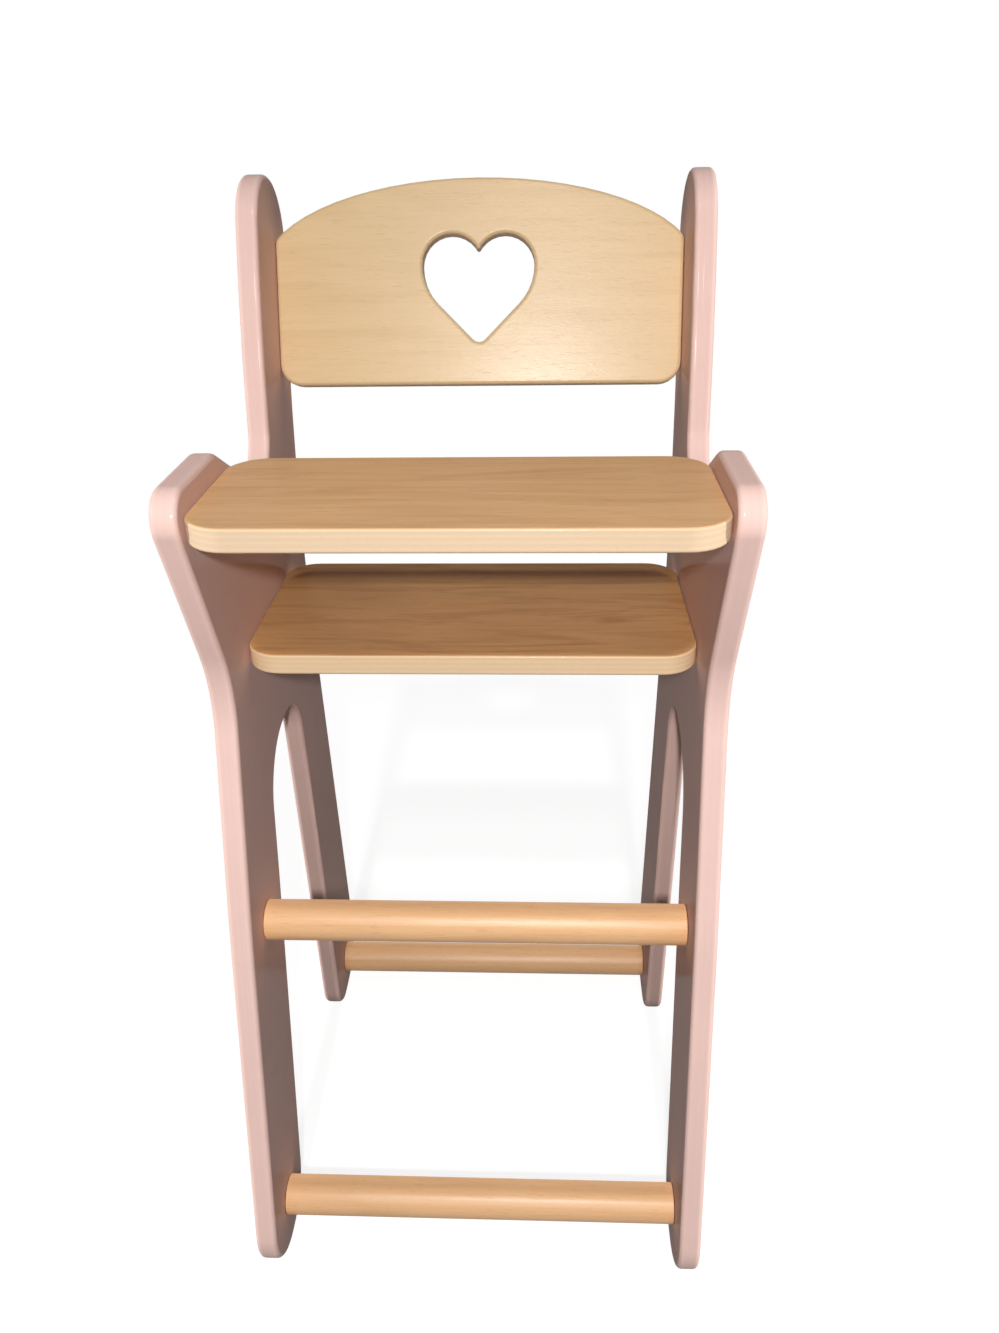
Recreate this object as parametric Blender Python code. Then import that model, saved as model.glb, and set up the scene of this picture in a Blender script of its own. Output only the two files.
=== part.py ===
"""Doll high chair: two one-piece side panels joined by a seat, a tray, a backrest and three round dowels.

Metres, +Z up. The chair faces -Y and +X is on the right of someone who looks at its front.
The origin lies on the floor, in the middle of the chair's width and of its depth.
"""

import bmesh
import bpy
from math import acos, asin, atan2, ceil, cos, pi, radians, sin, tan

from mathutils import Matrix, Vector

# Overall sizes
OVERALL_WIDTH = 0.230
OVERALL_HEIGHT = 0.519
BASE_DEPTH = 0.2512
SEAT_HEIGHT_SHARE = 0.63584
TRAY_HEIGHT_SHARE = 0.79383

# Side panels
PANEL_THICKNESS = 0.011
ARM_RISE = 0.010
STRIP_WIDTH = 0.0555
REAR_LEG_SLOPE = radians(2.9)
POST_SWEEP_RADIUS = 0.525
SWEEP_START_SHARE = 0.805
FOOT_RADIUS = 0.027
REAR_FOOT_FRONT_RADIUS = 0.020
REAR_FOOT_BACK_RADIUS = 0.030
HIP_RADIUS = 0.300
WAIST_RADIUS = 0.066
NOSE_RADIUS = 0.013
CREST_RADIUS = 0.015
VALLEY_RADIUS = 0.023
VALLEY_DROP = 0.0363
ARCH_DROP = 0.0675
ARCH_FRONT_RADIUS = 0.038
ARCH_REAR_RADIUS = 0.026
ARCH_SHOULDER_RADIUS = 0.120
PANEL_EDGE_RADIUS = 0.0025

# Where the corners of the panel lie, as shares of the base depth from its front end
FRONT_FOOT_BACK_SHARE = 0.2385
HIP_SHARE = 0.1986
WAIST_SHARE = 0.3312
NOSE_SHARE = 0.1799
CREST_SHARE = 0.4252
ARCH_FRONT_SHOULDER_SHARE = 0.4268
ARCH_FRONT_TOP_SHARE = 0.4800
ARCH_REAR_TOP_SHARE = 0.7233
ARCH_REAR_SHOULDER_SHARE = 0.7353
REAR_FOOT_FRONT_SHARE = 0.7472

# How high those corners lie, as shares of the seat height or of the arch's height
HIP_HEIGHT_SHARE = 0.621
WAIST_HEIGHT_SHARE = 0.972
ARCH_SHOULDER_HEIGHT_SHARE = 0.762

# Seat
SEAT_THICKNESS = 0.010
SEAT_DEPTH = 0.1065
SEAT_CORNER_RADIUS = 0.016
SEAT_FRONT_SHARE = 0.3929
SEAT_EDGE_RADIUS = 0.0012

# Tray
TRAY_THICKNESS = 0.010
TRAY_DEPTH = 0.087
TRAY_CORNER_RADIUS = 0.018
TRAY_FRONT_SHARE = 0.1760
TRAY_EDGE_RADIUS = 0.0012

# Backrest
BACKREST_THICKNESS = 0.010
BACKREST_HEIGHT = 0.1006
BACKREST_TOP_DROP = 0.0047
BACKREST_LEAN = radians(18.5)
BACKREST_SETBACK = 0.0186
BACKREST_ARCH_RISE = 0.0433
BACKREST_ARCH_SPAN_SHARE = 1.063
BACKREST_TOP_CORNER_RADIUS = 0.006
BACKREST_BOTTOM_CORNER_RADIUS = 0.011
BACKREST_EDGE_RADIUS = 0.0022

# Heart cut-out
HEART_WIDTH = 0.057
HEART_LOBE_RADIUS = 0.015
HEART_CENTRE_HEIGHT = 0.0590
HEART_TIP_HEIGHT = 0.0195
HEART_TIP_RADIUS = 0.0045

# Round dowels
DOWEL_DIAMETER = 0.020
DOWEL_END_CHAMFER = 0.0004
FOOTREST_HEIGHT_SHARE = 0.5818
FRONT_DOWEL_HEIGHT = 0.0292
REAR_DOWEL_HEIGHT = 0.0235

# Screws
SCREW_LENGTH = 0.030
SCREW_DIAMETER = 0.0035
SCREW_HEAD_DIAMETER = 0.007
SCREW_HEAD_DEPTH = 0.0022
SCREW_HEAD_RIM = 0.0004
SCREW_POINT_LENGTH = 0.004
SCREW_POINT_DIAMETER = 0.0006
RECESS_SPAN = 0.0036
RECESS_WIDTH = 0.0009
RECESS_DEPTH = 0.0012
SEAT_SCREW_SHARES = (0.24, 0.76)
TRAY_SCREW_SHARES = (0.33, 0.67)
BACKREST_SCREW_SHARES = (0.22, 0.58)

# Fit and finish
CLEARANCE = 0.0003
OVERRUN = 0.002
EDGE_SEGMENTS = 3
ARC_SAG = 0.0001
SWEEP_STEPS = 8
BACKREST_ARCH_STEPS = 24
DOWEL_FACETS = 40
SCREW_FACETS = 14
SMOOTH_ANGLE = radians(32.0)
BEVEL_ANGLE = radians(50.0)

SEAT_HEIGHT = OVERALL_HEIGHT * SEAT_HEIGHT_SHARE
TRAY_HEIGHT = OVERALL_HEIGHT * TRAY_HEIGHT_SHARE
FOOTREST_HEIGHT = SEAT_HEIGHT * FOOTREST_HEIGHT_SHARE
INNER_WIDTH = OVERALL_WIDTH - 2 * PANEL_THICKNESS
BOARD_LENGTH = INNER_WIDTH - 2 * CLEARANCE
ARM_HEIGHT = TRAY_HEIGHT + ARM_RISE
ARCH_HEIGHT = SEAT_HEIGHT - ARCH_DROP


def clear_scene():
    for thing in list(bpy.data.objects):
        bpy.data.objects.remove(thing, do_unlink=True)


# Outlines

def arc_points(centre, radius, start, end):
    """Points on a circle from one angle to another, both ends included."""
    widest_step = 2 * acos(1 - ARC_SAG / radius)
    steps = max(1, ceil(abs(end - start) / widest_step))
    angles = [start + (end - start) * i / steps for i in range(steps + 1)]
    return [Vector((centre[0] + radius * cos(a), centre[1] + radius * sin(a))) for a in angles]


def fillet(before, corner, after, radius):
    """The arc that rounds a corner between its two neighbours."""
    to_before = (before - corner).normalized()
    to_after = (after - corner).normalized()
    half_angle = to_before.angle(to_after) / 2
    reach = radius / tan(half_angle)
    centre = corner + (to_before + to_after).normalized() * radius / sin(half_angle)
    first = corner + to_before * reach - centre
    last = corner + to_after * reach - centre
    start = atan2(first.y, first.x)
    turn = atan2(first.x * last.y - first.y * last.x, first.dot(last))
    return arc_points(centre, radius, start, start + turn)


def rounded_outline(corners):
    """A closed outline from (x, y, radius) corners; a corner of radius 0 stays as it is."""
    places = [Vector(corner[:2]) for corner in corners]
    outline = []
    for i, (x, y, radius) in enumerate(corners):
        after = places[(i + 1) % len(places)]
        if radius:
            outline += fillet(places[i - 1], places[i], after, radius)
        else:
            outline.append(places[i])
    return outline


def sweep_centre():
    """The centre of the arcs that the post's two edges follow, in the panel's raw frame."""
    start = SEAT_HEIGHT * SWEEP_START_SHARE
    edge = BASE_DEPTH - start * tan(REAR_LEG_SLOPE)
    reach = Vector((cos(REAR_LEG_SLOPE), sin(REAR_LEG_SLOPE))) * POST_SWEEP_RADIUS
    return Vector((edge, start)) + reach


def sweep_lean(height, radius):
    """How far the post leans where an arc of this radius passes a height."""
    return asin((height - sweep_centre().y) / radius)


def sweep_point(lean, radius):
    """The point of such an arc where it has this lean."""
    centre = sweep_centre()
    return Vector((centre.x - radius * cos(lean), centre.y + radius * sin(lean)))


def sweep_edge(first_lean, last_lean, radius):
    """The outline corners along one edge of the post."""
    leans = [first_lean + (last_lean - first_lean) * i / SWEEP_STEPS for i in range(SWEEP_STEPS + 1)]
    return [(*sweep_point(lean, radius), 0) for lean in leans]


def post_corners():
    """The corners from the valley behind the arm, over the top of the post, to the rear leg."""
    front_radius = POST_SWEEP_RADIUS + STRIP_WIDTH
    middle_radius = POST_SWEEP_RADIUS + STRIP_WIDTH / 2
    top_lean = sweep_lean(OVERALL_HEIGHT - STRIP_WIDTH / 2, middle_radius)
    foot_lean = sweep_lean(TRAY_HEIGHT, front_radius)
    foot = sweep_point(foot_lean, front_radius)
    valley = (foot.x - VALLEY_DROP * tan(foot_lean), foot.y - VALLEY_DROP, VALLEY_RADIUS)
    crown = arc_points(sweep_point(top_lean, middle_radius), STRIP_WIDTH / 2, pi - top_lean, -top_lean)
    crown = [(*point, 0) for point in crown[1:-1]]
    front = sweep_edge(foot_lean, top_lean, front_radius)
    rear = sweep_edge(top_lean, -REAR_LEG_SLOPE, POST_SWEEP_RADIUS)
    return [valley] + front + crown + rear


def raw_panel_outline():
    """The side panel seen from the chair's right, with its depth measured from the front of the base."""
    shoulder_height = ARCH_HEIGHT * ARCH_SHOULDER_HEIGHT_SHARE
    corners = [
        (0, 0, FOOT_RADIUS),
        (BASE_DEPTH * HIP_SHARE, SEAT_HEIGHT * HIP_HEIGHT_SHARE, HIP_RADIUS),
        (BASE_DEPTH * WAIST_SHARE, SEAT_HEIGHT * WAIST_HEIGHT_SHARE, WAIST_RADIUS),
        (BASE_DEPTH * NOSE_SHARE, ARM_HEIGHT, NOSE_RADIUS),
        (BASE_DEPTH * CREST_SHARE, ARM_HEIGHT, CREST_RADIUS),
    ]
    corners += post_corners()
    corners += [
        (BASE_DEPTH, 0, REAR_FOOT_BACK_RADIUS),
        (BASE_DEPTH * REAR_FOOT_FRONT_SHARE, 0, REAR_FOOT_FRONT_RADIUS),
        (BASE_DEPTH * ARCH_REAR_SHOULDER_SHARE, shoulder_height, ARCH_SHOULDER_RADIUS),
        (BASE_DEPTH * ARCH_REAR_TOP_SHARE, ARCH_HEIGHT, ARCH_REAR_RADIUS),
        (BASE_DEPTH * ARCH_FRONT_TOP_SHARE, ARCH_HEIGHT, ARCH_FRONT_RADIUS),
        (BASE_DEPTH * ARCH_FRONT_SHOULDER_SHARE, shoulder_height, ARCH_SHOULDER_RADIUS),
        (BASE_DEPTH * FRONT_FOOT_BACK_SHARE, 0, FOOT_RADIUS),
    ]
    return rounded_outline(corners)


RAW_OUTLINE = raw_panel_outline()
DEPTH_MIDDLE = (min(p.x for p in RAW_OUTLINE) + max(p.x for p in RAW_OUTLINE)) / 2


def base_y(share):
    """World Y of a place given as a share of the base depth from its front end."""
    return BASE_DEPTH * share - DEPTH_MIDDLE


def between(first_share, second_share, progress):
    """The depth of a place between two shares of the base depth."""
    return BASE_DEPTH * (first_share + (second_share - first_share) * progress)


def front_leg_centre_y(height):
    """World Y of the middle of the front leg at a height."""
    front = between(0, HIP_SHARE, height / (SEAT_HEIGHT * HIP_HEIGHT_SHARE))
    progress = height / (ARCH_HEIGHT * ARCH_SHOULDER_HEIGHT_SHARE)
    back = between(FRONT_FOOT_BACK_SHARE, ARCH_FRONT_SHOULDER_SHARE, progress)
    return (front + back) / 2 - DEPTH_MIDDLE


def rear_leg_centre_y(height):
    """World Y of the middle of the rear leg at a height."""
    progress = height / (ARCH_HEIGHT * ARCH_SHOULDER_HEIGHT_SHARE)
    front = between(REAR_FOOT_FRONT_SHARE, ARCH_REAR_SHOULDER_SHARE, progress)
    back = BASE_DEPTH - height * tan(REAR_LEG_SLOPE)
    return (front + back) / 2 - DEPTH_MIDDLE


def heart_outline():
    """Heart cut-out in the backrest's plane: two lobes, rounded flanks and a soft tip at 45 degrees."""
    half_width = HEART_WIDTH / 2
    lobe_x = half_width - HEART_LOBE_RADIUS
    diagonal = radians(45.0)
    rise = HEART_CENTRE_HEIGHT - HEART_TIP_HEIGHT
    flank_radius = (rise - half_width) * sin(diagonal) / (1 - sin(diagonal))
    notch = asin(lobe_x / HEART_LOBE_RADIUS)
    lobe_centre = (lobe_x, HEART_CENTRE_HEIGHT)
    flank_centre = (half_width - flank_radius, HEART_CENTRE_HEIGHT)
    flank = arc_points(flank_centre, flank_radius, -diagonal, 0)
    lobe = arc_points(lobe_centre, HEART_LOBE_RADIUS, 0, pi / 2 + notch)
    tip_centre = (0, HEART_TIP_HEIGHT + HEART_TIP_RADIUS / sin(diagonal))
    tip = arc_points(tip_centre, HEART_TIP_RADIUS, -pi / 2, -diagonal)
    right = tip + flank + lobe[1:]
    left = [Vector((-point.x, point.y)) for point in reversed(right[1:-1])]
    return right + left


def backrest_arch():
    """The backrest's top edge: an elliptic arch that spans a little more than the board, cut at its ends."""
    span = BOARD_LENGTH / 2 * BACKREST_ARCH_SPAN_SHARE
    end = acos(1 / BACKREST_ARCH_SPAN_SHARE)
    angles = [end + (pi - 2 * end) * i / BACKREST_ARCH_STEPS for i in range(BACKREST_ARCH_STEPS + 1)]
    return [(span * cos(a), BACKREST_HEIGHT - BACKREST_ARCH_RISE * (1 - sin(a))) for a in angles]


def backrest_outline():
    """Backrest in its own plane, from its bottom edge: an arched top and rounded corners."""
    half = BOARD_LENGTH / 2
    arch = backrest_arch()
    corners = [
        (-half, 0, BACKREST_BOTTOM_CORNER_RADIUS),
        (half, 0, BACKREST_BOTTOM_CORNER_RADIUS),
        (*arch[0], BACKREST_TOP_CORNER_RADIUS),
    ]
    corners += [(*point, 0) for point in arch[1:-1]]
    corners.append((*arch[-1], BACKREST_TOP_CORNER_RADIUS))
    return rounded_outline(corners)


# Solids

def new_object(name, bm):
    bmesh.ops.recalc_face_normals(bm, faces=bm.faces)
    mesh = bpy.data.meshes.new(name)
    bm.to_mesh(mesh)
    bm.free()
    thing = bpy.data.objects.new(name, mesh)
    bpy.context.scene.collection.objects.link(thing)
    return thing


def extruded(name, outline, thickness):
    """A board that lies in XY, centred on its thickness."""
    bm = bmesh.new()
    face = bm.faces.new([bm.verts.new((p.x, p.y, -thickness / 2)) for p in outline])
    top = bmesh.ops.extrude_face_region(bm, geom=[face])["geom"]
    raised = [item for item in top if isinstance(item, bmesh.types.BMVert)]
    bmesh.ops.translate(bm, verts=raised, vec=(0, 0, thickness))
    return new_object(name, bm)


def revolved(name, profile, facets, centres=((0, 0, 0),)):
    """Solids turned around X from (x, radius) points, one at each centre."""
    bm = bmesh.new()
    for centre in centres:
        rings = [ring(bm, Vector(centre), x, radius, facets) for x, radius in profile]
        for first, second in zip(rings, rings[1:]):
            join_rings(bm, first, second)
        bm.faces.new(rings[0])
        bm.faces.new(rings[-1])
    return new_object(name, bm)


def ring(bm, centre, x, radius, facets):
    angles = [2 * pi * i / facets for i in range(facets)]
    return [bm.verts.new(centre + Vector((x, radius * cos(a), radius * sin(a)))) for a in angles]


def join_rings(bm, first, second):
    count = len(first)
    for i in range(count):
        j = (i + 1) % count
        bm.faces.new((first[i], first[j], second[j], second[i]))


def bevelled(thing, radius):
    bevel = thing.modifiers.new("Rounded edges", "BEVEL")
    bevel.width = radius
    bevel.segments = EDGE_SEGMENTS
    bevel.limit_method = "ANGLE"
    bevel.angle_limit = BEVEL_ANGLE


def cut(thing, cutter, title):
    boolean = thing.modifiers.new(title, "BOOLEAN")
    boolean.operation = "DIFFERENCE"
    boolean.object = cutter
    cutter.hide_render = True
    cutter.display_type = "WIRE"
    cutter.parent = thing
    cutter.matrix_parent_inverse = thing.matrix_world.inverted()


def finish(thing, material):
    thing.data.materials.append(material)
    thing.data.shade_smooth()
    thing.data.set_sharp_from_angle(angle=SMOOTH_ANGLE)


def paint(name, colour, roughness, metallic=0.0):
    material = bpy.data.materials.new(name)
    material.use_nodes = True
    material.diffuse_color = colour
    shader = material.node_tree.nodes["Principled BSDF"]
    shader.inputs["Base Color"].default_value = colour
    shader.inputs["Roughness"].default_value = roughness
    shader.inputs["Metallic"].default_value = metallic
    return material


# Screws and their holes

def board_screw_places(shares, near, depth, height):
    """(y, z) of the screws in the end of a level board."""
    return [(near + depth * share, height) for share in shares]


def backrest_frame():
    """The backrest's bottom centre and the direction of its face, in the YZ plane."""
    along = Vector((sin(BACKREST_LEAN), cos(BACKREST_LEAN)))
    bottom_z = OVERALL_HEIGHT - BACKREST_TOP_DROP - BACKREST_HEIGHT * along.y
    middle_z = bottom_z + BACKREST_HEIGHT * along.y * BACKREST_SCREW_SHARES[0]
    radius = POST_SWEEP_RADIUS + BACKREST_SETBACK
    middle_y = sweep_point(sweep_lean(middle_z, radius), radius).x - DEPTH_MIDDLE
    bottom_y = middle_y - BACKREST_HEIGHT * along.x * BACKREST_SCREW_SHARES[0]
    return Vector((bottom_y, bottom_z)), along


def screw_places():
    """Every screw position on one side of the chair, by the piece that it holds."""
    bottom, along = backrest_frame()
    seat_z = SEAT_HEIGHT - SEAT_THICKNESS / 2
    tray_z = TRAY_HEIGHT - TRAY_THICKNESS / 2
    seat_y = base_y(SEAT_FRONT_SHARE)
    tray_y = base_y(TRAY_FRONT_SHARE)
    return {
        "tray": board_screw_places(TRAY_SCREW_SHARES, tray_y, TRAY_DEPTH, tray_z),
        "seat": board_screw_places(SEAT_SCREW_SHARES, seat_y, SEAT_DEPTH, seat_z),
        "backrest": [tuple(bottom + along * BACKREST_HEIGHT * share) for share in BACKREST_SCREW_SHARES],
        "footrest_dowel": [(front_leg_centre_y(FOOTREST_HEIGHT), FOOTREST_HEIGHT)],
        "front_dowel": [(front_leg_centre_y(FRONT_DOWEL_HEIGHT), FRONT_DOWEL_HEIGHT)],
        "rear_dowel": [(rear_leg_centre_y(REAR_DOWEL_HEIGHT), REAR_DOWEL_HEIGHT)],
    }


def screw_profile():
    """(x, radius) of a countersunk wood screw whose head is flush with x = 0 and which points to +x."""
    cone = SCREW_HEAD_RIM + SCREW_HEAD_DEPTH
    return [
        (0, SCREW_HEAD_DIAMETER / 2),
        (SCREW_HEAD_RIM, SCREW_HEAD_DIAMETER / 2),
        (cone, SCREW_DIAMETER / 2),
        (SCREW_LENGTH - SCREW_POINT_LENGTH, SCREW_DIAMETER / 2),
        (SCREW_LENGTH, SCREW_POINT_DIAMETER / 2),
    ]


def panel_hole_profile():
    """The countersunk hole for such a screw in a panel whose outer face is x = 0."""
    rim = SCREW_HEAD_DIAMETER / 2 + CLEARANCE
    bore = SCREW_DIAMETER / 2 + CLEARANCE
    cone = SCREW_HEAD_RIM + SCREW_HEAD_DEPTH + CLEARANCE
    profile = [(-OVERRUN, rim), (SCREW_HEAD_RIM + CLEARANCE, rim), (cone, bore)]
    return profile + [(PANEL_THICKNESS + OVERRUN, bore)]


def pilot_hole_profile():
    """The hole for the same screw in the end of a board or dowel."""
    bore = SCREW_DIAMETER / 2 + CLEARANCE
    return [(PANEL_THICKNESS - OVERRUN, bore), (SCREW_LENGTH + CLEARANCE, bore)]


def mirrored_profile(profile, side):
    """Puts a profile made for a face at x = 0 on the outer face of the left or right panel."""
    return [(side * (OVERALL_WIDTH / 2 - x), radius) for x, radius in profile]


def drill(thing, places, profile, sides):
    for side in sides:
        centres = [(0, y, z) for y, z in places]
        title = "holes_right" if side > 0 else "holes_left"
        cutter = revolved(thing.name + "_" + title, mirrored_profile(profile, side), SCREW_FACETS, centres)
        cut(thing, cutter, title)


def cross_recess(name):
    """The cross-shaped socket that is cut into a screw's head."""
    arm = RECESS_SPAN / 2
    half = RECESS_WIDTH / 2
    quarter = [(half, half), (half, arm), (-half, arm)]
    outline = []
    for turn in range(4):
        spin = Matrix.Rotation(turn * pi / 2, 2)
        outline += [spin @ Vector(point) for point in quarter]
    depth = RECESS_DEPTH + OVERRUN
    cutter = extruded(name, outline, 2 * depth)
    cutter.rotation_euler = (0, pi / 2, 0)
    cutter.location.x = RECESS_DEPTH - depth
    return cutter


def make_screw(name, side, y, z, material):
    screw = revolved(name, screw_profile(), SCREW_FACETS)
    cut(screw, cross_recess(name + "_recess"), "cross recess")
    screw.location = (side * OVERALL_WIDTH / 2, y, z)
    screw.rotation_euler = (0, 0, pi if side > 0 else 0)
    finish(screw, material)
    return screw


# Pieces

def upright(thing):
    """Turns a flat outline in XY so that it stands in YZ."""
    thing.data.transform(Matrix(((0, 0, 1, 0), (1, 0, 0, 0), (0, 1, 0, 0), (0, 0, 0, 1))))


def make_side_panel(name, side, material):
    outline = [Vector((point.x - DEPTH_MIDDLE, point.y)) for point in RAW_OUTLINE]
    panel = extruded(name, outline, PANEL_THICKNESS)
    upright(panel)
    panel.data.transform(Matrix.Translation((side * (OVERALL_WIDTH - PANEL_THICKNESS) / 2, 0, 0)))
    bevelled(panel, PANEL_EDGE_RADIUS)
    places = [place for group in screw_places().values() for place in group]
    drill(panel, places, panel_hole_profile(), (side,))
    finish(panel, material)
    return panel


def make_level_board(name, size, front, height, radii, places, material):
    """A rounded board whose top face lies at a height and whose front edge lies at front."""
    depth, thickness = size
    corner_radius, edge_radius = radii
    half = BOARD_LENGTH / 2
    corners = [(-half, 0, corner_radius), (half, 0, corner_radius)]
    corners += [(half, depth, corner_radius), (-half, depth, corner_radius)]
    board = extruded(name, rounded_outline(corners), thickness)
    board.data.transform(Matrix.Translation((0, front, height - thickness / 2)))
    bevelled(board, edge_radius)
    drill(board, places, pilot_hole_profile(), (-1, 1))
    finish(board, material)
    return board


def make_backrest(material, places):
    bottom, _ = backrest_frame()
    lean = Matrix.Rotation(pi / 2 - BACKREST_LEAN, 4, "X")
    stand = Matrix.Translation((0, bottom.x, bottom.y)) @ lean
    board = extruded("backrest", backrest_outline(), BACKREST_THICKNESS)
    board.data.transform(stand)
    heart = extruded("backrest_heart", heart_outline(), BACKREST_THICKNESS + 2 * OVERRUN)
    heart.data.transform(stand)
    cut(board, heart, "heart")
    bevelled(board, BACKREST_EDGE_RADIUS)
    drill(board, places, pilot_hole_profile(), (-1, 1))
    finish(board, material)
    return board


def make_dowel(name, places, material):
    half = BOARD_LENGTH / 2
    radius = DOWEL_DIAMETER / 2
    shoulder = radius - DOWEL_END_CHAMFER
    profile = [(-half, shoulder), (DOWEL_END_CHAMFER - half, radius)]
    profile += [(half - DOWEL_END_CHAMFER, radius), (half, shoulder)]
    centres = [(0, y, z) for y, z in places]
    dowel = revolved(name, profile, DOWEL_FACETS, centres)
    drill(dowel, places, pilot_hole_profile(), (-1, 1))
    finish(dowel, material)
    return dowel


def make_screws(places, material):
    for side, side_name in ((-1, "left"), (1, "right")):
        for piece, spots in places.items():
            for number, (y, z) in enumerate(spots):
                label = ("_front", "_rear")[number] if len(spots) > 1 else ""
                if piece == "backrest":
                    label = ("_lower", "_upper")[number]
                make_screw("screw_" + piece + "_" + side_name + label, side, y, z, material)


def build():
    clear_scene()
    pink = paint("pink satin paint", (0.80, 0.49, 0.44, 1.0), 0.38)
    board_wood = paint("lacquered board", (0.62, 0.40, 0.20, 1.0), 0.42)
    dowel_wood = paint("lacquered dowel", (0.66, 0.42, 0.20, 1.0), 0.40)
    steel = paint("zinc plated steel", (0.62, 0.62, 0.60, 1.0), 0.35, 1.0)
    places = screw_places()
    make_side_panel("left_side_panel", -1, pink)
    make_side_panel("right_side_panel", 1, pink)
    seat_size = (SEAT_DEPTH, SEAT_THICKNESS)
    tray_size = (TRAY_DEPTH, TRAY_THICKNESS)
    seat_front = base_y(SEAT_FRONT_SHARE)
    tray_front = base_y(TRAY_FRONT_SHARE)
    seat_radii = (SEAT_CORNER_RADIUS, SEAT_EDGE_RADIUS)
    tray_radii = (TRAY_CORNER_RADIUS, TRAY_EDGE_RADIUS)
    make_level_board("seat", seat_size, seat_front, SEAT_HEIGHT, seat_radii, places["seat"], board_wood)
    make_level_board("tray", tray_size, tray_front, TRAY_HEIGHT, tray_radii, places["tray"], board_wood)
    make_backrest(board_wood, places["backrest"])
    for name in ("footrest_dowel", "front_dowel", "rear_dowel"):
        make_dowel(name, places[name], dowel_wood)
    make_screws(places, steel)


build()
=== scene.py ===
"""Looks of the doll high chair: painted panels, lacquered plywood boards, beech dowels and steel screws."""

import math

import bpy
from mathutils import Matrix, Vector

MM = 0.001


def srgb(r, g, b):
    """A colour as it looks on screen, from 0 to 255, as linear values by the sRGB curve."""
    def linear(v):
        v = v / 255
        return v / 12.92 if v <= 0.04045 else ((v + 0.055) / 1.055) ** 2.4
    return (linear(r), linear(g), linear(b), 1.0)


WHITE = (1.0, 1.0, 1.0, 1.0)

# Camera, found from the photograph: metres, radians and millimetres of the lens
CAMERA_PLACE = Vector((0.03157, -0.43698, 0.54394))
CAMERA_YAW = 0.0455617
CAMERA_PITCH = 0.5064711
CAMERA_ROLL = 0.0190948
CAMERA_SENSOR = 36.0
CAMERA_LENS = 27.007

# A small lamp behind and above the lens
NEAR_PLACE = Vector((0.030, -0.603, 0.665))
NEAR_AIM = Vector((0.0, 0.0, 0.10))
NEAR_SIZE = 0.03
NEAR_POWER = 3.15

# Far lamps: the heading of their light and its drop, both in degrees, and their strength
AHEAD = 90.0
FAR_RAYS = {
    "front_low": (AHEAD, 28.0, 0.58),
    "front_high": (AHEAD, 52.0, 0.80),
    "left": (0.0, 0.0, 2.3),
    "right": (180.0, 0.0, 2.3),
    "back": (270.0, 0.0, 2.7),
}
SOFT_SPREAD = math.radians(3.0)
LEVEL_SPREAD = math.radians(0.2)

# World: how bright it lights the chair, and how bright it is seen
AMBIENT = 0.06
BACKGROUND = 1.0

# Floor
FLOOR_HALF = 6.0
FLOOR_DROP = 0.2 * MM
FLOOR_TONE = srgb(150, 150, 150)
FLOOR_GLOW = 0.86
FLOOR_BOUNCE_TONE = srgb(95, 95, 95)
FLOOR_FADE = (0.25, 0.9)

# Smooth shading
WELD_DISTANCE = 0.00001
FLAT_ANGLE = math.radians(0.5)
NORMAL_SCALE = 1.0e9

# Named node parts
PANELS = ("left_side_panel", "right_side_panel")
DOWELS = ("footrest_dowel", "front_dowel", "rear_dowel")
SCREW_PREFIX = "screw"

# Sockets of a colour mix node
MIX_SOCKETS = (0, 6, 7)
MIX_RESULT = 2

# The middle of a noise, where most of its values lie
MIDDLE = (0.3, 0.7)

# Grain: how many waves a metre along X, along Y and along Z
FIGURE_SCALE = (9.0, 75.0, 75.0)
PATCH_SCALE = (9.0, 16.0, 16.0)
STREAK_SCALE = (9.0, 330.0, 330.0)
FIBRE_SCALE = (40.0, 1500.0, 1500.0)
PORE_SCALE = (110.0, 1900.0, 1900.0)
TOOTH_SCALE = (320.0, 2000.0, 2000.0)
RAY_FLECK_SCALE = (260.0, 1300.0, 1300.0)
PORE_SHIFT = (0.0, 0.5, 0.7)

# Grain: how each noise is made
FIGURE_NOISE = {"detail": 4.0, "roughness": 0.55, "distortion": 1.3}
PATCH_NOISE = {"detail": 2.0}
STREAK_NOISE = {"detail": 4.0, "roughness": 0.6, "distortion": 0.25}
FIBRE_NOISE = {"detail": 2.0, "roughness": 0.6}
PORE_NOISE = {"detail": 1.0}
TOOTH_NOISE = {"detail": 2.0, "roughness": 0.6}
RAY_FLECK_NOISE = {"detail": 1.0}

# Grain: which range of each noise shows, how strongly, and in which shade
PATCH_RANGE = (0.35, 0.65)
FIGURE_RANGE = (0.48, 0.70)
FIGURE_PALE_RANGE = (0.42, 0.28)
FIGURE_PALE_SHARE = 0.6
FIGURE_PALE_SHADE = 1.16
STREAK_RANGE = (0.50, 0.72)
STREAK_WEIGHT = 0.26
FIBRE_RANGE = (0.45, 0.70)
FIBRE_WEIGHT = 0.14
PORE_RANGE = (0.66, 0.74)
PORE_WEIGHT = 0.32
PORE_SHADE = 0.72
RAY_FLECK_RANGE = (0.62, 0.74)
RAY_FLECK_WEIGHT = 0.16
RAY_FLECK_SHADE = 0.8

# Grain: its relief and its sheen
GRAIN_DEPTH = 0.00006
PORE_PIT_RANGE = (0.62, 0.76)
PORE_PIT_DEPTH = 0.3
WOOD_ROUGHNESS = (0.36, 0.50)

# Plywood layers, as shares of the thickness
PLY_DIP = 0.16
PLY_STEP = 0.13
PLY_WAVE_REACH = (-0.02, 0.02)

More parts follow.
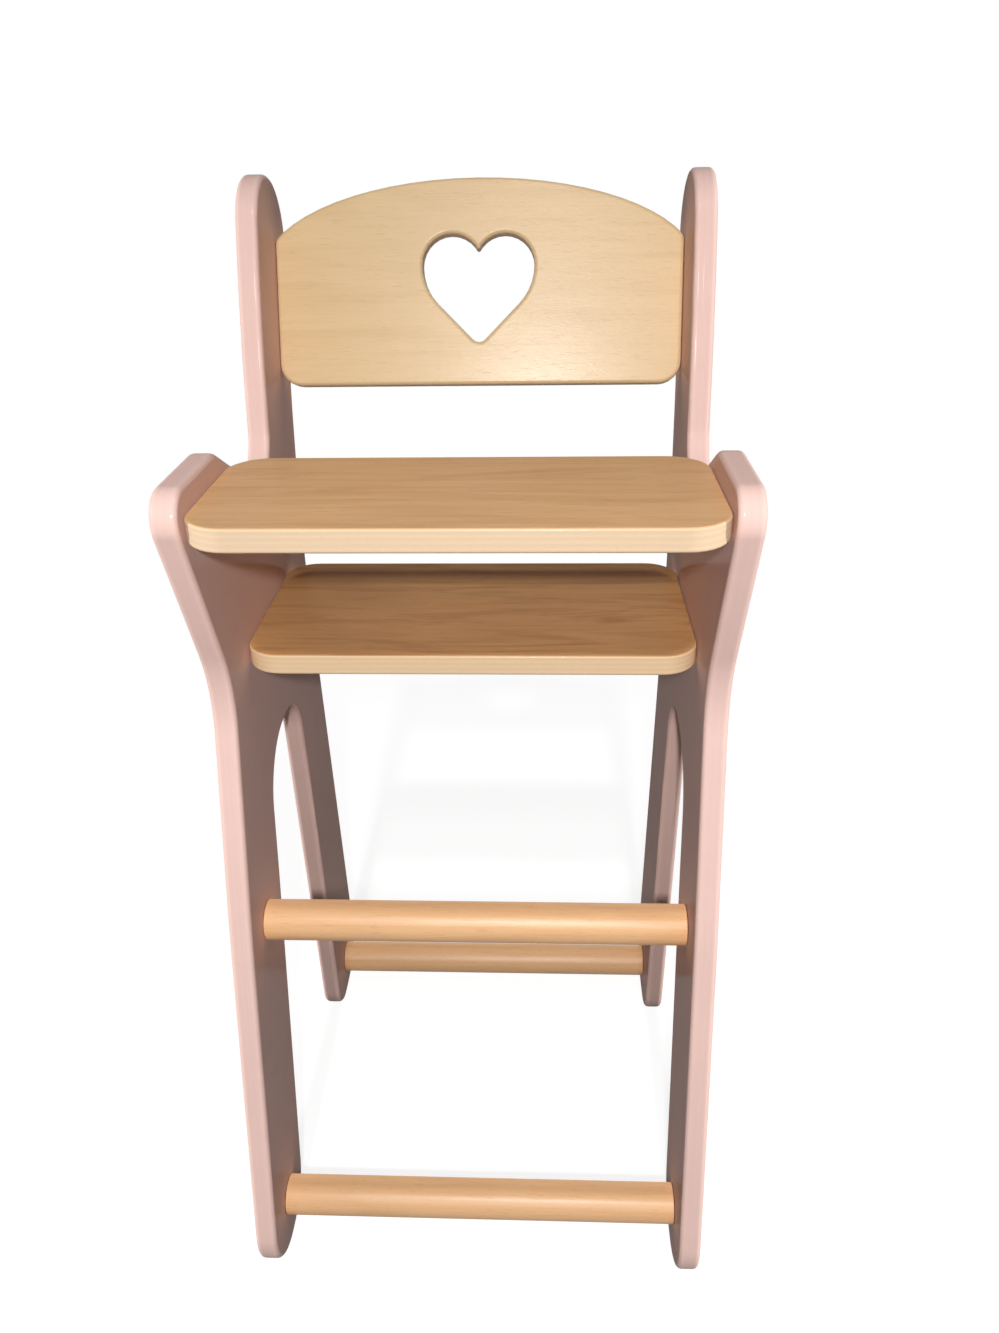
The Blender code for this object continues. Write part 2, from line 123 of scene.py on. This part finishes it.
# Plywood edges: waves a metre, ranges, weights and shades
EDGE_NOISE = {"detail": 2.0}
PLY_WAVE_SCALE = (22.0, 22.0, 22.0)
END_FLECK_SCALE = (700.0, 700.0, 2600.0)
END_LINE_SCALE = (18.0, 18.0, 3200.0)
LAYER_RANGE = (0.30, 0.70)
LAYER_SHADES = (0.965, 1.02)
END_GRAIN_RANGE = (0.45, 0.75)
END_FLECK_WEIGHT = 0.20
END_FLECK_SHADE = 0.78
END_LINE_WEIGHT = 0.18
END_LINE_SHADE = 0.80
GLUE_PLACE = 0.5
GLUE_RANGE = (0.0, 0.14)
GLUE_WEIGHTS = (0.07, 0.0)
GLUE_SHADE = 0.55
FACE_RANGE = (0.55, 0.90)

# Wood looks
UP_AXIS = (0.0, 0.0, 1.0)
BACK_LEAN = math.radians(18.5)
BACK_AXIS = (0.0, -math.cos(BACK_LEAN), math.sin(BACK_LEAN))
BOARD_LOOKS = {
    "tray": {
        "tone": srgb(226, 181, 133), "brown": srgb(196, 140, 92), "edge": srgb(226, 198, 166),
        "figure": 0.35, "patch": 0.045, "shift": (0.0, 0.0, 0.0),
        "relief": 0.7, "coat": 0.10, "gloss": 0.24, "axis": UP_AXIS,
    },
    # The seat's tone and brown are darker than the tray's though it is the same plywood: mostly painted
    # shade from the tray above it, partly the seat's own warmer wood
    "seat": {
        "tone": srgb(200, 153, 104), "brown": srgb(162, 112, 66), "edge": srgb(226, 196, 158),
        "figure": 0.60, "patch": 0.10, "shift": (1.9, 4.4, 3.3),
        "relief": 0.7, "coat": 0.10, "gloss": 0.24, "axis": UP_AXIS,
    },
    "backrest": {
        "tone": srgb(215, 185, 141), "brown": srgb(196, 161, 113), "edge": srgb(222, 195, 158),
        "figure": 0.25, "patch": 0.035, "shift": (0.0, 0.0, 0.0),
        "relief": 0.75, "coat": 0.25, "gloss": 0.27, "axis": BACK_AXIS,
    },
}
DOWEL_LOOK = {
    "tone": srgb(232, 184, 136), "brown": srgb(204, 148, 100),
    "figure": 0.25, "patch": 0.035, "shift": (0.0, 0.0, 0.0),
    "relief": 0.8, "coat": 0.35, "gloss": 0.36,
}

COAT_INDEX = 1.8

# Paint: its tones and its coat
PAINT_TONE = srgb(236, 200, 190)
RUBBED_TONE = srgb(246, 222, 208)
PAINT_COAT = 0.10
PAINT_GLOSS = 0.11

# Paint: its clouds, its mottle, its orange peel and its worn specks
CLOUD_NOISE = {"scale": 14.0, "detail": 2.0}
MOTTLE_NOISE = {"scale": 60.0, "detail": 4.0, "roughness": 0.6}
PEEL_NOISE = {"scale": 900.0, "detail": 2.0}
SPECK_NOISE = {"scale": 420.0, "detail": 3.0, "roughness": 0.65}
CLOUD_SHADES = (0.97, 1.02)
MOTTLE_RANGE = (0.40, 0.65)
MOTTLE_WEIGHT = 0.35
MOTTLE_SHADE = 0.94
SPECK_RANGE = (0.56, 0.70)

# Paint: the ply lines that show through it on the rims, and its rubbed arrises
PANEL_INSIDE = 0.104
PANEL_OUTSIDE = 0.115
RIM_RANGE = (0.55, 0.25)
PLY_LINE_RANGE = (0.22, 0.0)
PLY_LINE_WEIGHT = 0.22
PLY_LINE_SHADE = 0.84
PLY_LINE_DIP = 0.8
ARRIS_START_RANGE = (0.35, 0.60)
ARRIS_END_RANGE = (0.96, 0.75)
RUBBED_WEIGHT = 0.40
RUBBED_ROUGHNESS = 0.15
PAINT_ROUGHNESS = (0.34, 0.42)
PAINT_BUMP = {"Strength": 0.22, "Distance": 0.1 * MM}

# Steel, and the shade painted into the screws' recesses as a dark colour
STEEL_NOISE = {"scale": 700.0, "detail": 3.0}
STEEL_TONES = (srgb(172, 170, 164), srgb(206, 205, 200))
STEEL_ROUGHNESS = (0.25, 0.4)
STEEL_BUMP = {"Strength": 0.2, "Distance": 0.05 * MM}
RECESS_PAINTED_SHADE = srgb(52, 48, 44)
RECESS_RANGE = (PANEL_OUTSIDE - 0.05 * MM, PANEL_OUTSIDE - 0.5 * MM)
RECESS_ROUGHNESS = 0.3


class Nodes:
    """Short ways to add and join shader nodes in one material."""

    def __init__(self, name):
        self.material = bpy.data.materials.new(name)
        self.material.use_nodes = True
        self.tree = self.material.node_tree
        self.tree.nodes.clear()

    def add(self, kind, inputs=None, **settings):
        node = self.tree.nodes.new(kind)
        for key, value in settings.items():
            setattr(node, key, value)
        for key, value in (inputs or {}).items():
            self.put(node.inputs[key], value)
        return node

    def put(self, socket, value):
        if isinstance(value, bpy.types.NodeSocket):
            self.tree.links.new(value, socket)
        else:
            socket.default_value = value

    def math(self, operation, a, b=0.0):
        node = self.add("ShaderNodeMath", operation=operation)
        self.put(node.inputs[0], a)
        self.put(node.inputs[1], b)
        return node.outputs[0]

    def blend(self, factor, a, b):
        node = self.add("ShaderNodeMix", data_type="RGBA")
        for socket, value in zip(MIX_SOCKETS, (factor, a, b)):
            self.put(node.inputs[socket], value)
        return node.outputs[MIX_RESULT]

    def coordinates(self, kind):
        return self.add("ShaderNodeTexCoord").outputs[kind]

    def scaled(self, vector, scale, shift=(0.0, 0.0, 0.0)):
        node = self.add("ShaderNodeMapping", {"Vector": vector, "Scale": scale, "Location": shift})
        return node.outputs[0]

    def noise(self, vector, scale=1.0, detail=3.0, roughness=0.5, distortion=0.0):
        inputs = {"Vector": vector, "Scale": scale, "Detail": detail}
        inputs.update({"Roughness": roughness, "Distortion": distortion})
        return self.add("ShaderNodeTexNoise", inputs).outputs[0]

    def ramp(self, value, span, reach=(0.0, 1.0)):
        inputs = {"Value": value, "From Min": span[0], "From Max": span[1]}
        inputs.update({"To Min": reach[0], "To Max": reach[1]})
        return self.add("ShaderNodeMapRange", inputs, clamp=True).outputs[0]

    def parts(self, vector):
        return self.add("ShaderNodeSeparateXYZ", {0: vector}).outputs

    def bump(self, height, settings):
        return self.add("ShaderNodeBump", {"Height": height, **settings}).outputs[0]

    def finish(self, shader):
        out = self.add("ShaderNodeOutputMaterial")
        self.tree.links.new(shader, out.inputs["Surface"])
        return self.material


def new_group(name):
    """An empty geometry group, with its first and last nodes."""
    group = bpy.data.node_groups.new(name, "GeometryNodeTree")
    group.interface.new_socket("Geometry", in_out="INPUT", socket_type="NodeSocketGeometry")
    group.interface.new_socket("Geometry", in_out="OUTPUT", socket_type="NodeSocketGeometry")
    return group, group.nodes.new("NodeGroupInput"), group.nodes.new("NodeGroupOutput")


def weld_group():
    """A geometry group that joins doubled points and shades the surface smooth."""
    group, start, end = new_group("weld_and_smooth")
    merge = group.nodes.new("GeometryNodeMergeByDistance")
    merge.inputs["Distance"].default_value = WELD_DISTANCE
    smooth = group.nodes.new("GeometryNodeSetShadeSmooth")
    plain = group.nodes.new("GeometryNodeSetMeshNormal")
    plain.inputs["Remove Custom"].default_value = True
    group.links.new(start.outputs[0], merge.inputs[0])
    group.links.new(merge.outputs[0], smooth.inputs[0])
    group.links.new(smooth.outputs[0], plain.inputs[0])
    group.links.new(plain.outputs[0], end.inputs[0])
    return group


def vector_on(group, vector, domain):
    """A vector field taken over to the faces or the points."""
    node = group.nodes.new("GeometryNodeFieldOnDomain")
    node.data_type = "FLOAT_VECTOR"
    node.domain = domain
    group.links.new(vector, node.inputs[0])
    return node.outputs[0]


def vector_math(group, operation, vector):
    """A vector node that works on one vector."""
    node = group.nodes.new("ShaderNodeVectorMath")
    node.operation = operation
    group.links.new(vector, node.inputs[0])
    return node


def normal_group():
    """A geometry group that weights each point's normal by the squared area of the faces round it."""
    group, start, end = new_group("weighted_normals")
    normal = group.nodes.new("GeometryNodeInputNormal")
    area = group.nodes.new("GeometryNodeInputMeshFaceArea")
    square = group.nodes.new("ShaderNodeMath")
    square.operation = "MULTIPLY"
    group.links.new(area.outputs[0], square.inputs[0])
    group.links.new(area.outputs[0], square.inputs[1])
    heavy = vector_math(group, "SCALE", normal.outputs[0])
    group.links.new(square.outputs[0], heavy.inputs["Scale"])
    on_points = vector_on(group, vector_on(group, heavy.outputs[0], "FACE"), "POINT")
    larger = vector_math(group, "SCALE", on_points)
    larger.inputs["Scale"].default_value = NORMAL_SCALE
    unit = vector_math(group, "NORMALIZE", larger.outputs[0])
    setter = group.nodes.new("GeometryNodeSetMeshNormal")
    setter.mode = "FREE"
    setter.domain = "POINT"
    group.links.new(start.outputs[0], setter.inputs[0])
    group.links.new(unit.outputs[0], setter.inputs["Custom Normal"])
    group.links.new(setter.outputs[0], end.inputs[0])
    return group


def soften(node, groups):
    """The node's facets shade as one smooth surface, with its flats kept flat."""
    node.modifiers.new("weld_and_smooth", "NODES").node_group = groups[0]
    flats = node.modifiers.new("whole_flats", "DECIMATE")
    flats.decimate_type = "DISSOLVE"
    flats.angle_limit = FLAT_ANGLE
    node.modifiers.new("weighted_normals", "NODES").node_group = groups[1]


def lacquer(n, colour, roughness, bump, coat, coat_roughness):
    """A surface under a satin coat."""
    inputs = {"Base Color": colour, "Roughness": roughness, "Normal": bump, "Coat Normal": bump}
    inputs.update({"Specular IOR Level": 0.0, "Coat Weight": coat})
    inputs.update({"Coat Roughness": coat_roughness, "Coat IOR": COAT_INDEX})
    return n.add("ShaderNodeBsdfPrincipled", inputs).outputs[0]


def shaded(colour, factor):
    """A colour made lighter or darker."""
    return tuple(min(1.0, part * factor) for part in colour[:3]) + (1.0,)


def along(n, vector, axis):
    """How far a vector reaches along a fixed axis."""
    dot = n.add("ShaderNodeVectorMath", {0: vector, 1: axis}, operation="DOT_PRODUCT")
    return dot.outputs["Value"]


def ply_layers(n, depth):
    """Swings between 0 and 1 from one plywood layer to the next."""
    steps = n.math("DIVIDE", n.math("SUBTRACT", depth, PLY_DIP), PLY_STEP)
    return n.math("PINGPONG", steps, 1.0)


def wood_face(n, place, look):
    """The grain of a veneer or dowel whose fibres run along X, its fine relief, and its streaks."""
    tone, brown, figure_weight = look["tone"], look["brown"], look["figure"]
    figure = n.noise(n.scaled(place, FIGURE_SCALE, look["shift"]), **FIGURE_NOISE)
    patch = n.noise(n.scaled(place, PATCH_SCALE, look["shift"]), **PATCH_NOISE)
    streak = n.noise(n.scaled(place, STREAK_SCALE), **STREAK_NOISE)
    fibre = n.noise(n.scaled(place, FIBRE_SCALE), **FIBRE_NOISE)
    pore = n.noise(n.scaled(place, PORE_SCALE, PORE_SHIFT), **PORE_NOISE)
    pale, deep = shaded(tone, 1.0 + look["patch"]), shaded(tone, 1.0 - look["patch"])
    colour = n.blend(n.ramp(patch, PATCH_RANGE), deep, pale)
    colour = n.blend(n.ramp(figure, FIGURE_RANGE, (0.0, figure_weight)), colour, brown)
    pale_figure = n.ramp(figure, FIGURE_PALE_RANGE, (0.0, FIGURE_PALE_SHARE * figure_weight))
    colour = n.blend(pale_figure, colour, shaded(tone, FIGURE_PALE_SHADE))
    colour = n.blend(n.ramp(streak, STREAK_RANGE, (0.0, STREAK_WEIGHT)), colour, brown)
    colour = n.blend(n.ramp(fibre, FIBRE_RANGE, (0.0, FIBRE_WEIGHT)), colour, brown)
    colour = n.blend(n.ramp(pore, PORE_RANGE, (0.0, PORE_WEIGHT)), colour, shaded(brown, PORE_SHADE))
    tooth = n.noise(n.scaled(place, TOOTH_SCALE), **TOOTH_NOISE)
    height = n.math("SUBTRACT", tooth, n.ramp(pore, PORE_PIT_RANGE, (0.0, PORE_PIT_DEPTH)))
    return colour, height, streak


def ply_edge(n, place, depth, tone):
    """The cut edge of plywood: pale and darker layers, thin glue lines, and end grain."""
    wave = n.noise(n.scaled(place, PLY_WAVE_SCALE), **EDGE_NOISE)
    layer = ply_layers(n, n.math("ADD", depth, n.ramp(wave, MIDDLE, PLY_WAVE_REACH)))
    fleck = n.noise(n.scaled(place, END_FLECK_SCALE), **EDGE_NOISE)
    line = n.noise(n.scaled(place, END_LINE_SCALE), **EDGE_NOISE)
    deep, pale = [shaded(tone, shade) for shade in LAYER_SHADES]
    colour = n.blend(n.ramp(layer, LAYER_RANGE), deep, pale)
    flecked = n.ramp(fleck, END_GRAIN_RANGE, (0.0, END_FLECK_WEIGHT))
    colour = n.blend(flecked, colour, shaded(tone, END_FLECK_SHADE))
    lined = n.ramp(line, END_GRAIN_RANGE, (0.0, END_LINE_WEIGHT))
    colour = n.blend(lined, colour, shaded(tone, END_LINE_SHADE))
    off_glue = n.math("ABSOLUTE", n.math("SUBTRACT", layer, GLUE_PLACE))
    return n.blend(n.ramp(off_glue, GLUE_RANGE, GLUE_WEIGHTS), colour, shaded(tone, GLUE_SHADE))


def lacquered_wood(n, colour, height, streak, look):
    """Wood under its lacquer, a little duller along its streaks."""
    bump = n.bump(height, {"Strength": look["relief"], "Distance": GRAIN_DEPTH})
    roughness = n.ramp(streak, MIDDLE, WOOD_ROUGHNESS)
    return n.finish(lacquer(n, colour, roughness, bump, look["coat"], look["gloss"]))


def board_material(name, node, look):
    """Lacquered plywood, with its layers along the axis through its thickness."""
    n = Nodes(name)
    axis = look["axis"]
    place = n.coordinates("Object")
    turned = n.math("ABSOLUTE", along(n, n.coordinates("Normal"), axis))
    reach = [point.co.dot(Vector(axis)) for point in node.data.vertices]
    depth = n.ramp(along(n, place, axis), (min(reach), max(reach)), (1.0, 0.0))
    face, height, streak = wood_face(n, place, look)
    edge = ply_edge(n, place, depth, look["edge"])
    colour = n.blend(n.ramp(turned, FACE_RANGE), edge, face)
    return lacquered_wood(n, colour, height, streak, look)


def dowel_material(name, look):
    """Lacquered beech, with its short dark flecks."""
    n = Nodes(name)
    place = n.coordinates("Object")
    face, height, streak = wood_face(n, place, look)
    fleck = n.noise(n.scaled(place, RAY_FLECK_SCALE), **RAY_FLECK_NOISE)
    flecked = n.ramp(fleck, RAY_FLECK_RANGE, (0.0, RAY_FLECK_WEIGHT))
    colour = n.blend(flecked, face, shaded(look["brown"], RAY_FLECK_SHADE))
    return lacquered_wood(n, colour, height, streak, look)


def paint_material(name):
    """Pink satin paint over plywood, a little rubbed along its rounded edges."""
    n = Nodes(name)
    place = n.coordinates("Object")
    sideways = n.math("ABSOLUTE", n.parts(n.coordinates("Normal"))[0])
    cloud = n.noise(place, **CLOUD_NOISE)
    peel = n.noise(place, **PEEL_NOISE)
    speck = n.noise(place, **SPECK_NOISE)
    mottle = n.noise(place, **MOTTLE_NOISE)
    deep, pale = [shaded(PAINT_TONE, shade) for shade in CLOUD_SHADES]
    colour = n.blend(n.ramp(cloud, MIDDLE), deep, pale)
    mottled = n.ramp(mottle, MOTTLE_RANGE, (0.0, MOTTLE_WEIGHT))
    colour = n.blend(mottled, colour, shaded(PAINT_TONE, MOTTLE_SHADE))
    across = n.math("ABSOLUTE", n.parts(place)[0])
    layer = ply_layers(n, n.ramp(across, (PANEL_INSIDE, PANEL_OUTSIDE)))
    ply_line = n.math("MULTIPLY", n.ramp(layer, PLY_LINE_RANGE), n.ramp(sideways, RIM_RANGE))
    lined = n.math("MULTIPLY", ply_line, PLY_LINE_WEIGHT)
    colour = n.blend(lined, colour, shaded(PAINT_TONE, PLY_LINE_SHADE))
    on_arris = n.math("MULTIPLY", n.ramp(sideways, ARRIS_START_RANGE), n.ramp(sideways, ARRIS_END_RANGE))
    rubbed = n.math("MULTIPLY", on_arris, n.ramp(speck, SPECK_RANGE))
    colour = n.blend(n.math("MULTIPLY", rubbed, RUBBED_WEIGHT), colour, RUBBED_TONE)
    height = n.math("SUBTRACT", peel, n.math("MULTIPLY", ply_line, PLY_LINE_DIP))
    bump = n.bump(height, PAINT_BUMP)
    satin = n.ramp(cloud, MIDDLE, PAINT_ROUGHNESS)
    roughness = n.math("ADD", satin, n.math("MULTIPLY", rubbed, RUBBED_ROUGHNESS))
    return n.finish(lacquer(n, colour, roughness, bump, PAINT_COAT, PAINT_GLOSS))


def steel_material(name):
    """Zinc plated steel, duller down in the screws' recesses, where shade is painted in as a dark colour.
    """
    n = Nodes(name)
    place = n.coordinates("Object")
    stain = n.noise(place, **STEEL_NOISE)
    outward = n.math("ABSOLUTE", n.parts(place)[0])
    # deep marks the screws' recesses: it dulls them, and darkens their colour as painted shade
    deep = n.ramp(outward, RECESS_RANGE)
    colour = n.blend(stain, *STEEL_TONES)
    # painted shade: the recesses take a dark colour in place of the shade that falls in them
    colour = n.blend(deep, colour, RECESS_PAINTED_SHADE)
    bump = n.bump(stain, STEEL_BUMP)
    plated = n.ramp(stain, MIDDLE, STEEL_ROUGHNESS)
    roughness = n.math("ADD", plated, n.math("MULTIPLY", deep, RECESS_ROUGHNESS))
    inputs = {"Base Color": colour, "Roughness": roughness, "Normal": bump, "Metallic": 1.0}
    return n.finish(n.add("ShaderNodeBsdfPrincipled", inputs).outputs[0])


def floor_material():
    """A pale floor that fades to white where it is seen, and throws little light back at the chair."""
    n = Nodes("pale_floor")
    x, y = n.parts(n.coordinates("Object"))[:2]
    far = n.math("SQRT", n.math("ADD", n.math("MULTIPLY", x, x), n.math("MULTIPLY", y, y)))
    path = n.add("ShaderNodeLightPath").outputs
    seen = n.math("MAXIMUM", path["Is Camera Ray"], path["Is Glossy Ray"])
    seen = n.math("MAXIMUM", seen, path["Is Transmission Ray"])
    matt = n.add("ShaderNodeBsdfDiffuse", {"Color": FLOOR_TONE})
    glow = n.add("ShaderNodeEmission", {"Color": WHITE, "Strength": FLOOR_GLOW})
    near = n.add("ShaderNodeAddShader", {0: matt.outputs[0], 1: glow.outputs[0]})
    white = n.add("ShaderNodeEmission", {"Color": WHITE, "Strength": BACKGROUND})
    bounce = n.add("ShaderNodeBsdfDiffuse", {"Color": FLOOR_BOUNCE_TONE})
    faded = {0: n.ramp(far, FLOOR_FADE), 1: near.outputs[0], 2: white.outputs[0]}
    visible = n.add("ShaderNodeMixShader", faded)
    chosen = {0: seen, 1: bounce.outputs[0], 2: visible.outputs[0]}
    return n.finish(n.add("ShaderNodeMixShader", chosen).outputs[0])


def make_floor():
    """A wide flat floor under the chair."""
    half = FLOOR_HALF
    mesh = bpy.data.meshes.new("floor")
    corners = [(-half, -half, 0.0), (half, -half, 0.0), (half, half, 0.0), (-half, half, 0.0)]
    mesh.from_pydata(corners, [], [(0, 1, 2, 3)])
    floor = bpy.data.objects.new("floor", mesh)
    floor.location.z = -FLOOR_DROP
    bpy.context.scene.collection.objects.link(floor)
    mesh.materials.append(floor_material())


def larger_of(tree, first, second):
    """The larger of two values in the world's nodes."""
    node = tree.nodes.new("ShaderNodeMath")
    node.operation = "MAXIMUM"
    tree.links.new(first, node.inputs[0])
    tree.links.new(second, node.inputs[1])
    return node.outputs[0]


def make_world():
    """A pale world: even soft light, and plain white where it is seen."""
    world = bpy.data.worlds.new("pale_world")
    bpy.context.scene.world = world
    world.use_nodes = True
    tree = world.node_tree
    tree.nodes.clear()
    path = tree.nodes.new("ShaderNodeLightPath").outputs
    seen = larger_of(tree, path["Is Camera Ray"], path["Is Glossy Ray"])
    seen = larger_of(tree, seen, path["Is Transmission Ray"])
    strength = tree.nodes.new("ShaderNodeMapRange")
    strength.inputs["To Min"].default_value = AMBIENT
    strength.inputs["To Max"].default_value = BACKGROUND
    tree.links.new(seen, strength.inputs["Value"])
    sky = tree.nodes.new("ShaderNodeBackground")
    sky.inputs["Color"].default_value = WHITE
    tree.links.new(strength.outputs[0], sky.inputs["Strength"])
    out = tree.nodes.new("ShaderNodeOutputWorld")
    tree.links.new(sky.outputs[0], out.inputs["Surface"])


def new_lamp(name, kind, power, ray):
    """A lamp whose light runs along a ray."""
    data = bpy.data.lights.new(name, kind)
    data.energy = power
    lamp = bpy.data.objects.new(name, data)
    bpy.context.scene.collection.objects.link(lamp)
    lamp.rotation_mode = "QUATERNION"
    lamp.rotation_quaternion = ray.to_track_quat("-Z", "Y")
    return lamp


def make_near_lamp():
    """The small square lamp, pointed at the chair."""
    lamp = new_lamp("near_lamp", "AREA", NEAR_POWER, NEAR_AIM - NEAR_PLACE)
    lamp.data.size = NEAR_SIZE
    lamp.location = NEAR_PLACE


def make_far_lamp(name, heading, drop, strength):
    """A far lamp; only those that shine ahead show in the gloss, and level ones are sharp."""
    turn, fall = math.radians(heading), math.radians(drop)
    ray = Vector((math.cos(turn) * math.cos(fall), math.sin(turn) * math.cos(fall), -math.sin(fall)))
    lamp = new_lamp(name, "SUN", strength, ray)
    lamp.data.angle = SOFT_SPREAD if drop > 0.0 else LEVEL_SPREAD
    lamp.visible_glossy = heading == AHEAD


def make_camera():
    """The camera where the photograph was taken from."""
    level = math.cos(CAMERA_PITCH)
    ahead = Vector((-math.sin(CAMERA_YAW) * level, math.cos(CAMERA_YAW) * level, -math.sin(CAMERA_PITCH)))
    right = Vector((math.cos(CAMERA_YAW), math.sin(CAMERA_YAW), 0.0))
    down = ahead.cross(right)
    turned_right = math.cos(CAMERA_ROLL) * right + math.sin(CAMERA_ROLL) * down
    turned_down = math.cos(CAMERA_ROLL) * down - math.sin(CAMERA_ROLL) * right
    matrix = Matrix((turned_right, -turned_down, -ahead)).transposed().to_4x4()
    matrix.translation = CAMERA_PLACE
    data = bpy.data.cameras.new("camera")
    data.sensor_width = CAMERA_SENSOR
    data.lens = CAMERA_LENS
    camera = bpy.data.objects.new("camera", data)
    bpy.context.scene.collection.objects.link(camera)
    camera.matrix_world = matrix
    bpy.context.scene.camera = camera


def finish_node(name, material, groups):
    """One CAD node gets its material and smooth shading."""
    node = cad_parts[name]
    node.material_slots[0].material = material
    soften(node, groups)


def main():
    """Dresses the frame, then sets the stage."""
    groups = (weld_group(), normal_group())
    paint = paint_material("pink_satin_paint")
    steel = steel_material("zinc_steel")
    rod = dowel_material("dowel_beech", DOWEL_LOOK)
    for name in PANELS:
        finish_node(name, paint, groups)
    for name, look in BOARD_LOOKS.items():
        material = board_material(name + "_plywood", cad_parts[name], look)
        finish_node(name, material, groups)
    for name in DOWELS:
        finish_node(name, rod, groups)
    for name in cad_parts:
        if name.startswith(SCREW_PREFIX):
            finish_node(name, steel, groups)
    make_floor()
    make_world()
    make_near_lamp()
    for name, (heading, drop, strength) in FAR_RAYS.items():
        make_far_lamp(name + "_lamp", heading, drop, strength)
    make_camera()
    bpy.context.scene.view_settings.view_transform = "Standard"


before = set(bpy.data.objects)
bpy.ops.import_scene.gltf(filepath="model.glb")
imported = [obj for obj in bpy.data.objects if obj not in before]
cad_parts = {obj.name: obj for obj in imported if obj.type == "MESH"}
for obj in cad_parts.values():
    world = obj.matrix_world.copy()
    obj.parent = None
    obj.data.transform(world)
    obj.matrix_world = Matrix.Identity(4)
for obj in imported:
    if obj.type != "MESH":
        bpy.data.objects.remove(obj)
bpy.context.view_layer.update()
main()
